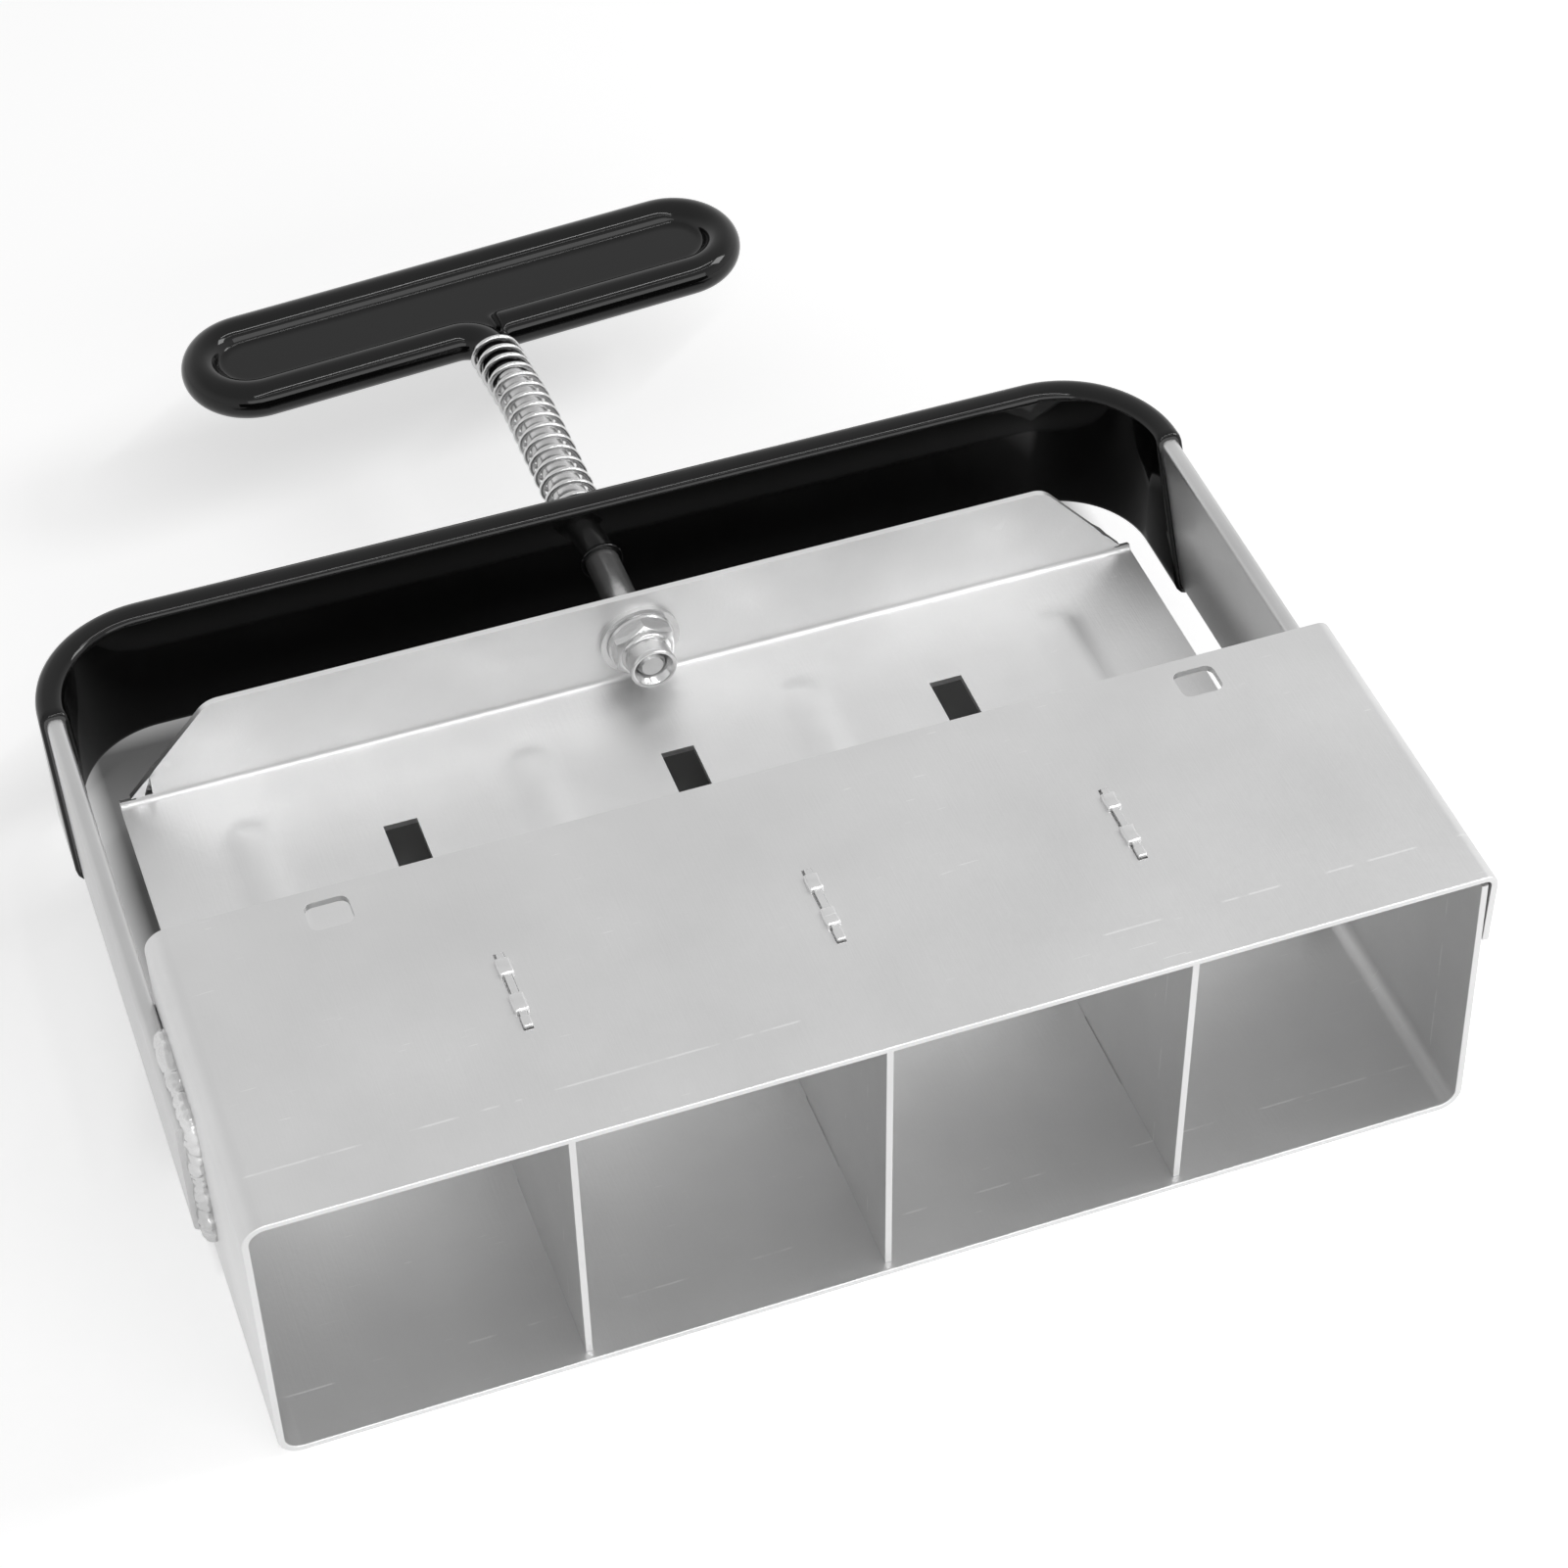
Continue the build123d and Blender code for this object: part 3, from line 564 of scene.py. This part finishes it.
# %% Divider plates
def lump(bm, low, high, round_off, notch=0.0):
    """A rounded block of metal, with a chisel notch across its middle."""
    middle = (Vector(low) + Vector(high)) / 2
    cube = bmesh.ops.create_cube(bm, size=1.0)["verts"]
    bmesh.ops.scale(bm, vec=Vector(high) - Vector(low), verts=cube)
    bmesh.ops.translate(bm, vec=middle, verts=cube)
    edges = list({e for v in cube for e in v.link_edges})
    shape = {"offset": round_off, "segments": 3, "profile": 0.5, "material": -1}
    bmesh.ops.bevel(bm, geom=cube + edges, affect="EDGES", **shape)
    if notch:
        own = [
            v
            for v in bm.verts
            if all(low[i] - 0.01 <= v.co[i] <= high[i] + 0.01 for i in range(3))
        ]
        parts = {g for v in own for g in list(v.link_edges) + list(v.link_faces)}
        across = {"plane_co": middle, "plane_no": (0.25, 1, 0)}
        halves = bmesh.ops.bisect_plane(bm, geom=own + list(parts), **across)
        line = [v for v in halves["geom_cut"] if isinstance(v, bmesh.types.BMVert)]
        top = [v for v in line if v.co.z > high[2] - round_off * 1.1]
        bmesh.ops.translate(bm, vec=(0, 0, -notch), verts=top)


inner_low, inner_high = sheet + 0.02, wall_top - sheet - 0.02
for number, x in enumerate(divider_xs, start=1):
    bm = bmesh.new()
    plate = bmesh.ops.create_cube(bm, size=1.0)["verts"]
    bmesh.ops.scale(bm, vec=(sheet, back - mouth - 3.2, inner_high - inner_low), verts=plate)
    bmesh.ops.translate(bm, vec=(x, middle, (inner_low + inner_high) / 2), verts=plate)
    for y in (tab_middle - half_tab, tab_middle + half_tab):
        everything = bm.verts[:] + bm.edges[:] + bm.faces[:]
        bmesh.ops.bisect_plane(bm, geom=everything, plane_co=(0, y, 0), plane_no=(0, 1, 0))
    for height, reach in ((inner_high, wall_top + 0.5), (inner_low, 0.02)):
        level = [f for f in bm.faces if abs(f.calc_center_median().z - height) < 0.01]
        under = [f for f in level if abs(f.calc_center_median().y - tab_middle) < 1]
        tab = bmesh.ops.extrude_face_region(bm, geom=under)["geom"]
        bmesh.ops.delete(bm, geom=under, context="FACES_ONLY")
        tab = [v for v in tab if isinstance(v, bmesh.types.BMVert)]
        bmesh.ops.translate(bm, vec=(0, 0, reach - height), verts=tab)
    # two chisel blows and a small burr, each at its distance from the mouth
    sunk = wall_top - 0.5
    for centre, length in ((36.4, 3.5), (28.5, 3.8)):
        near_y, far_y = mouth + centre - length / 2, mouth + centre + length / 2
        lump(bm, (x - 1.3, near_y, sunk), (x + 1.2, far_y, wall_top + 0.95), 0.42, 0.35)
    lump(bm, (x - 0.8, mouth + 23.3, sunk), (x + 0.75, mouth + 25.6, wall_top + 0.75), 0.25)
    bmesh.ops.recalc_face_normals(bm, faces=bm.faces[:])
    name = f"divider_plate_{number}"
    divider = make_piece(bm, name, box_sheet, "frame", [f"divider_{number}"])
    soften(divider, 0.12)

# %% [markdown]
# ## Handle strap and its grip
#
# The strap is a flat bar of 26 by 3.2 mm with rounded edges, bent twice on a
# former. The same sweep, with a section that is 1 mm larger all round, makes
# the dipped skin. The tool was dipped at a slant, so a slanting cut ends the
# skin on both arms, and that cut's rim is rounded like a drop.

# %% Bar and skin
arm_end = side_of("handle_strap", 0, 1)
half_strap = side_of("handle_strap", 1, 0)
strap_thick = half_strap - half_row
strap_corner = 21.5
dip = side_of("strap_grip", 1, 1) - crossbar - 0.01


def strap(bm, skin, start, steps):
    """The strap's bar, grown by a skin, from both arms at the same Y."""
    thick = strap_thick + 2 * skin
    middle_x = half_strap + skin - thick / 2
    edge_rounding = 1.1 + 0.7 * skin
    ring = rounded_section(bm, thick, bar_high - bar_low + 2 * skin, edge_rounding)
    put(bm, ring, (-middle_x, start, axis_z), (1, 0, 0), (0, 0, 1))
    turn_x = half_strap - strap_corner
    turn_y = crossbar - strap_corner
    closed_sweep(
        bm,
        ring,
        [
            ((0, turn_y - start, 0), 2),
            ((-turn_x, turn_y, axis_z), (0, 0, 1), -90, steps),
            ((2 * turn_x, 0, 0), 8),
            ((turn_x, turn_y, axis_z), (0, 0, 1), -90, steps),
            ((0, start - turn_y, 0), 2),
        ],
    )


bm = bmesh.new()
strap(bm, 0, arm_end, 20)
make_piece(bm, "strap_bar", bar_steel, "frame", ["handle_strap"])

# %% Slanting end of the skin
dip_line = mouth + 119.5  # at the arms' lower edges
slope = math.radians(27)
cut_off = 12
bm = bmesh.new()
strap(bm, dip, dip_line - cut_off, 28)
cut_end = bmesh.ops.bisect_plane(
    bm,
    geom=bm.verts[:] + bm.edges[:] + bm.faces[:],
    plane_co=(0, dip_line, bar_low),
    plane_no=(0, math.cos(slope), -math.sin(slope)),
    clear_inner=True,
)["geom_cut"]
rim = [e for e in cut_end if isinstance(e, bmesh.types.BMEdge)]
bmesh.ops.edgeloop_fill(bm, edges=rim)
caps = [f for f in bm.faces if len(f.verts) > 8]
rim = [e for e in bm.edges if len(e.link_faces) == 2 and any(f in caps for f in e.link_faces)]
bmesh.ops.bevel(bm, geom=rim, offset=0.7, segments=3, profile=0.5, affect="EDGES", material=-1)
bmesh.ops.recalc_face_normals(bm, faces=bm.faces[:])

# %% [markdown]
# The vinyl also runs into the rod's hole. When the rod was pushed through, it
# tore the skin and left a raised lip with a few threads round the hole.

# %% Lip of the rod hole
rod_radius = 3.175
full_turn = {"axis": (0, 1, 0), "angle": 2 * math.pi, "use_merge": True}
for y in (crossbar - strap_thick - dip, crossbar + dip):
    lip = bmesh.ops.create_circle(bm, segments=10, radius=0.5)["verts"]
    bmesh.ops.translate(bm, vec=(rod_radius + 0.55, y, axis_z), verts=lip)
    ring = list({e for v in lip for e in v.link_edges})
    bmesh.ops.spin(bm, geom=lip + ring, cent=(0, y, axis_z), steps=40, **full_turn)
make_piece(bm, "strap_skin", vinyl, "frame", ["strap_grip"])

# %% [markdown]
# ## Ejector
#
# The ejector is one sheet, bent to a channel: the bridge that takes the nut, a
# web, and the foot inside the box. A row of edges is carried down the bridge
# and along the web in small steps, so that the pressed ribs can be raised by
# moving its points. Only then does Solidify give the sheet its thickness.

# %% Ejector surface
web_half = side_of("ejector", 1, 0)
bridge_top = side_of("ejector", 1, 2)
fold = 2.4
wall_z = web_low + fold
bm = bmesh.new()
row = [bm.verts.new((-web_half, bridge_back - sheet / 2, bridge_top))]
columns = 130
for _ in range(columns):
    made = bmesh.ops.extrude_vert_indiv(bm, verts=row[-1:])["verts"]
    bmesh.ops.translate(bm, vec=(2 * web_half / columns, 0, 0), verts=made)
    row += made
run = bridge_back - foot - 2 * fold
carry(
    bm,
    bm.edges[:],
    [
        ((0, 0, wall_z - bridge_top), 4),
        ((0, bridge_back - fold, wall_z), (1, 0, 0), -90, 6),
        ((0, -run, 0), 50),
        ((0, foot + fold, wall_z), (1, 0, 0), -90, 6),
        ((0, 0, bridge_top - wall_z), 4),
    ],
)
bmesh.ops.recalc_face_normals(bm, faces=bm.faces[:])
print("ejector grid:", len(bm.verts), "points,", len(bm.faces), "faces")

# %% Pressed ribs
plates = [f"presser_plate_{n}" for n in (1, 2, 3, 4)]
cell_middles = [(side_of(plate, 0, 0) + side_of(plate, 1, 0)) / 2 for plate in plates]
rib_half = 5.6
rib_blind = mouth + 120.0 - rib_half
rib_foot = foot + 4.0


def rib_height(x, y):
    """Height of the pressed ribs over the web, from 0 to 1 mm."""
    across = min(abs(x - middle) for middle in cell_middles)
    past = max(0.0, y - rib_blind)
    away = math.hypot(across, past) / rib_half
    rise = 0.5 + 0.5 * math.cos(math.pi * min(away, 1.0))
    return rise if y > rib_foot else 0.0


for v in bm.verts:
    if v.co.z < web_low + sheet and foot + fold <= v.co.y <= bridge_back - fold:
        v.co.z += rib_height(v.co.x, v.co.y)

# %% Slanted and rounded ends of the bridge
slant_run = 16.0
corner_radius = 5.0
for side in (-1, 1):
    base = Vector((side * (web_half - 2.0), 0, wall_z))
    steep = Vector((side * (bridge_top - wall_z), 0, slant_run)).normalized()
    centre = Vector((0, 0, bridge_top - corner_radius))
    centre.x = base.x - (corner_radius + steep.z * (centre.z - base.z)) / steep.x
    normals = [(Vector((side, 0, 0)), base)]
    for k in range(7):
        normal = steep.lerp(Vector((0, 0, 1)), k / 7).normalized()
        normals.append((normal, centre + normal * corner_radius))
    for normal, point in normals:
        upright = [f for f in bm.faces if f.calc_center_median().z > wall_z + 0.1]
        bridge = [f for f in upright if f.calc_center_median().y > bridge_back - sheet]
        parts = {e for f in bridge for e in list(f.verts) + list(f.edges)}
        plane = {"plane_co": point, "plane_no": normal, "clear_outer": True}
        bmesh.ops.bisect_plane(bm, geom=list(parts) + bridge, **plane)
ejector_sheet = make_piece(bm, "ejector_sheet", bright_sheet, "plunger", ["ejector"])
thick = ejector_sheet.modifiers.new("sheet thickness", "SOLIDIFY")
thick.thickness = sheet * MM
thick.offset = 0.0
settle(ejector_sheet)

# %% Slots over the dividers
for x in divider_xs:
    low, high = (x - 3.1, foot - 1, web_low - 1), (x + 3.1, mouth + 109.0, bridge_top + 1)
    cut(ejector_sheet, block(low, high))
soften(ejector_sheet, 0.12)

# %% [markdown]
# ## T-handle
#
# The T-handle is the push rod itself. Its end is bent left into a long loop that
# comes round to meet the neck again, and the whole loop was dipped with the
# neck. The liquid vinyl bridged the loop and cured to a web across it. So one
# round section is swept along the loop, a thin plate is joined to it, and a
# voxel remesh with some smoothing lets the two flow together as the liquid did.

# %% Loop of the T-handle
bend_y = mouth + 200.0
tilt = math.radians(4.2)
to_tee = Matrix.Translation((0, bend_y, axis_z)) @ Matrix.Rotation(tilt, 4, "Z")
tee_dip = 0.65
tee_radius = rod_radius + tee_dip
tee_middle = 33.5
tee_length, tee_width = 117.4, 28.0
tee_side = tee_width / 2 - tee_radius
neck_bend = 6.0
near = tee_middle - tee_side
neck_top = near - neck_bend
neck_start = neck_top - 9.5
end_x = tee_length / 2 - tee_width / 2
loop_end = 3.2  # where the loop stops beside the neck
bm = bmesh.new()
ring = round_section(bm, tee_radius - 0.02, 40)
put(bm, ring, (0, neck_start, 0), (1, 0, 0), (0, 0, -1))
closed_sweep(
    bm,
    ring,
    [
        ((0, neck_top - neck_start, 0), 8),
        ((-neck_bend, neck_top, 0), (0, 0, 1), 90, 16),
        ((neck_bend - end_x, 0, 0), 12),
        ((-end_x, tee_middle, 0), (0, 0, 1), -180, 32),
        ((2 * end_x, 0, 0), 24),
        ((end_x, tee_middle, 0), (0, 0, 1), -180, 32),
        ((loop_end - end_x, 0, 0), 12),
    ],
)
tee = make_piece(bm, "t_handle_dip", vinyl, "plunger", ["t_handle_grip"])

# %% Web across the loop
web_thick = 1.6
bm = bmesh.new()
rounded_section(bm, 2 * (end_x + tee_side), 2 * tee_side, tee_side - 0.005, 14)
bmesh.ops.remove_doubles(bm, verts=bm.verts[:], dist=0.05)
ring = put(bm, bm.edges[:], (0, tee_middle, -web_thick / 2), (1, 0, 0), (0, 1, 0))
closed_sweep(bm, ring, [((0, 0, web_thick), 1)])
cut(tee, make_piece(bm, "tool", vinyl), "UNION")
melt(tee, 0.4, 12)
for matrix in (Matrix.Scale(1 / MM, 4), to_tee, Matrix.Scale(MM, 4)):
    tee.data.transform(matrix)

# %% [markdown]
# ## Return spring
#
# The spring is wound from bright wire of about 1.15 mm. Spin with a step along
# the axis winds it evenly. The real coils lie closer towards the handle, so
# the points are then drawn together there, and at last they follow the small
# bend of the rod. When the plunger goes down, the spring is pressed together
# towards the crossbar.

# %% Spring
coil_radius = 4.525
wire = 0.575
seat = crossbar + dip
bend_radius = 80.0
bend_half = bend_radius * math.tan(tilt / 2)
bend_start = bend_y - bend_half - seat
spring_length = bend_start + bend_radius * tilt + near - tee_radius - bend_half
turns = 18
per_turn = 30
crowding = 0.13
coil_run = spring_length - 4 * wire
bm = bmesh.new()
ring = round_section(bm, wire, 10)
pitch_angle = math.atan(coil_run / turns / (2 * math.pi * coil_radius))
put(bm, ring, (coil_radius, 0, 0), (1, 0, 0), (0, math.cos(pitch_angle), math.sin(pitch_angle)))
steps = turns * per_turn
rise = Vector((0, coil_run / steps, 0))
points = list({v for e in ring for v in e.verts})
winding = {"cent": (0, 0, 0), "axis": (0, 1, 0), "angle": -turns * 2 * math.pi, "dvec": rise}
end = bmesh.ops.spin(bm, geom=points + ring, steps=steps, **winding)
for cap in (ring, [e for e in end["geom_last"] if isinstance(e, bmesh.types.BMEdge)]):
    bmesh.ops.edgeloop_fill(bm, edges=cap)
bmesh.ops.recalc_face_normals(bm, faces=bm.faces[:])
for v in bm.verts:
    share = min(max(v.co.y / coil_run, 0.0), 1.0)
    length = 2 * wire + v.co.y + coil_run * crowding * share * (1 - share)
    turn = min(max(0.0, (length - bend_start) / bend_radius), tilt)
    rest = max(0.0, length - bend_start - bend_radius * tilt)
    axis_x = -bend_radius * (1 - math.cos(turn)) - rest * math.sin(turn)
    axis_y = seat + min(length, bend_start) + bend_radius * math.sin(turn) + rest * math.cos(turn)
    out_x, out_y = v.co.x * math.cos(turn), v.co.x * math.sin(turn)
    v.co = Vector((axis_x + out_x, axis_y + out_y, axis_z + v.co.z))
spring = make_piece(bm, "spring_coil", nut_zinc, "frame", ["spring"])
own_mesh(spring)

# %% [markdown]
# ## Nut with a sleeve
#
# The nut that holds the ejector on the rod is turned from one bar: a thin
# flange, a hexagon whose corners are chamfered by a cone, and a long sleeve
# with a countersunk mouth. The hexagon is a six-sided prism, and keeping only
# what it shares with a turned cone leaves the curved scallops on its flats.

# %% Flange nut
nut_back = side_of("flange_nut", 1, 1)
collar_end = side_of("flange_nut", 0, 1)
flats = 10.6


def turned(name, profile):
    """A solid turned round the rod's axis from (radius, y) points, both ends on the axis."""
    bm = bmesh.new()
    row = [bm.verts.new((profile[0][0], profile[0][1], 0))]
    for radius, y in profile[1:]:
        made = bmesh.ops.extrude_vert_indiv(bm, verts=row[-1:])["verts"]
        bmesh.ops.translate(bm, vec=Vector((radius, y, 0)) - made[0].co, verts=made)
        row += made
    bmesh.ops.spin(bm, geom=bm.verts[:] + bm.edges[:], cent=(0, 0, 0), steps=64, **full_turn)
    bmesh.ops.remove_doubles(bm, verts=bm.verts[:], dist=0.001)
    bmesh.ops.recalc_face_normals(bm, faces=bm.faces[:])
    bmesh.ops.translate(bm, vec=(0, 0, axis_z), verts=bm.verts[:])
    return make_piece(bm, name, nut_zinc)


hex_back = nut_back - 0.7
hex_front = hex_back - 2.8
corner = flats / math.sqrt(3)
bm = bmesh.new()
bmesh.ops.create_circle(bm, segments=6, radius=corner)
ring = put(bm, bm.edges[:], (0, hex_front, axis_z), (1, 0, 0), (0, 0, -1))
closed_sweep(bm, ring, [((0, hex_back + 0.1 - hex_front, 0), 1)])
nut = make_piece(bm, "sleeve_nut", nut_zinc, "plunger", ["flange_nut"])
cone = [
    (0, hex_front),
    (flats / 2 - 0.25, hex_front),
    (corner + 0.05, hex_front + 0.85),
    (corner + 0.05, hex_back + 0.2),
    (0, hex_back + 0.2),
]
cut(nut, turned("tool", cone), "INTERSECT")
flange = [
    (0, nut_back - 0.01),
    (6.2, nut_back - 0.01),
    (6.38, nut_back - 0.25),
    (6.2, hex_back),
    (0, hex_back),
]
cut(nut, turned("tool", flange), "UNION")
sleeve = [
    (0, hex_front + 0.5),
    (4.9, hex_front + 0.5),
    (4.6, hex_front - 0.25),
    (4.2, hex_front - 0.5),
    (4.25, collar_end + 1.1),
    (4.39, collar_end + 0.8),
    (4.39, collar_end + 0.25),
    (4.25, collar_end + 0.02),
    (3.9, collar_end),
    (3.62, collar_end + 0.15),
    (2.72, collar_end + 1.6),
    (2.6, collar_end + 2.0),
    (0, collar_end + 2.0),
]
cut(nut, turned("tool", sleeve), "UNION")
hole = [(0, collar_end + 1.0), (2.56, collar_end + 1.0), (2.56, nut_back + 1), (0, nut_back + 1)]
cut(nut, turned("tool", hole))
soften(nut, 0.12)

# %% [markdown]
# ## Welds
#
# Each arm of the strap is welded to the end of the box along its two edges and
# across its end. The bead is a row of frozen puddles. Overlapping balls of
# uneven size stand for the puddles, the remesh joins them, and noise then
# roughens the skin, so that it sparkles in small bright spots.


# %% Weld beads
def weld(name, side, stands_for):
    """A bead up one edge of an arm, across its end and down the other edge."""
    low, high = bar_low - 0.6, bar_high + 0.6
    stop = arm_end + 17.0
    squeeze = 0.9 if side < 0 else 1.0  # the left bead lies flatter
    path = []
    for k in range(9):
        path.append((stop - (stop - arm_end) * k / 8, high))
    for k in range(1, 14):
        path.append((arm_end - 0.3, high - (high - low) * k / 14))
    for k in range(9):
        path.append((arm_end + (stop - arm_end) * k / 8, low))
    bm = bmesh.new()
    for k, (y, z) in enumerate(path):
        size = 2.0 + 0.9 * noise.noise(Vector((k * 0.7, side * 3.0, 0.5)))
        ball = bmesh.ops.create_icosphere(bm, subdivisions=2, radius=size)["verts"]
        bmesh.ops.scale(bm, vec=(squeeze, 1.15, 1.15), verts=ball)
        bmesh.ops.translate(bm, vec=(side * (half_row + 1.1 - 0.3 * size), y, z), verts=ball)
    bead = make_piece(bm, name, weld_metal, "frame", [stands_for])
    melt(bead, 0.35, 2)
    for v in bead.data.vertices:
        ripple = noise.noise(v.co / (1.1 * MM)) * 0.22 + noise.noise(v.co / (3.0 * MM)) * 0.35
        v.co += v.normal * ripple * MM


weld("left_bead", -1, "left_weld")
weld("right_bead", 1, "right_weld")

# %% [markdown]
# ## CAD pieces that stay
#
# The rod, the nuts, the plates and the pins already have their true shapes, so
# they keep their meshes and only get a finish.

# %% Finishes for the CAD nodes
finishes = {
    "push_rod": drawn_rod,
    "nut_washer": nut_zinc,
    "jam_nut": nut_zinc,
    "t_handle": bar_steel,
}
for number in (1, 2, 3, 4):
    finishes[f"presser_plate_{number}"] = bright_sheet
    finishes[f"seed_pin_{number}"] = nut_zinc
for name, finish in finishes.items():
    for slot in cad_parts[name].material_slots:
        slot.material = finish
print("finished CAD nodes:", len(finishes))
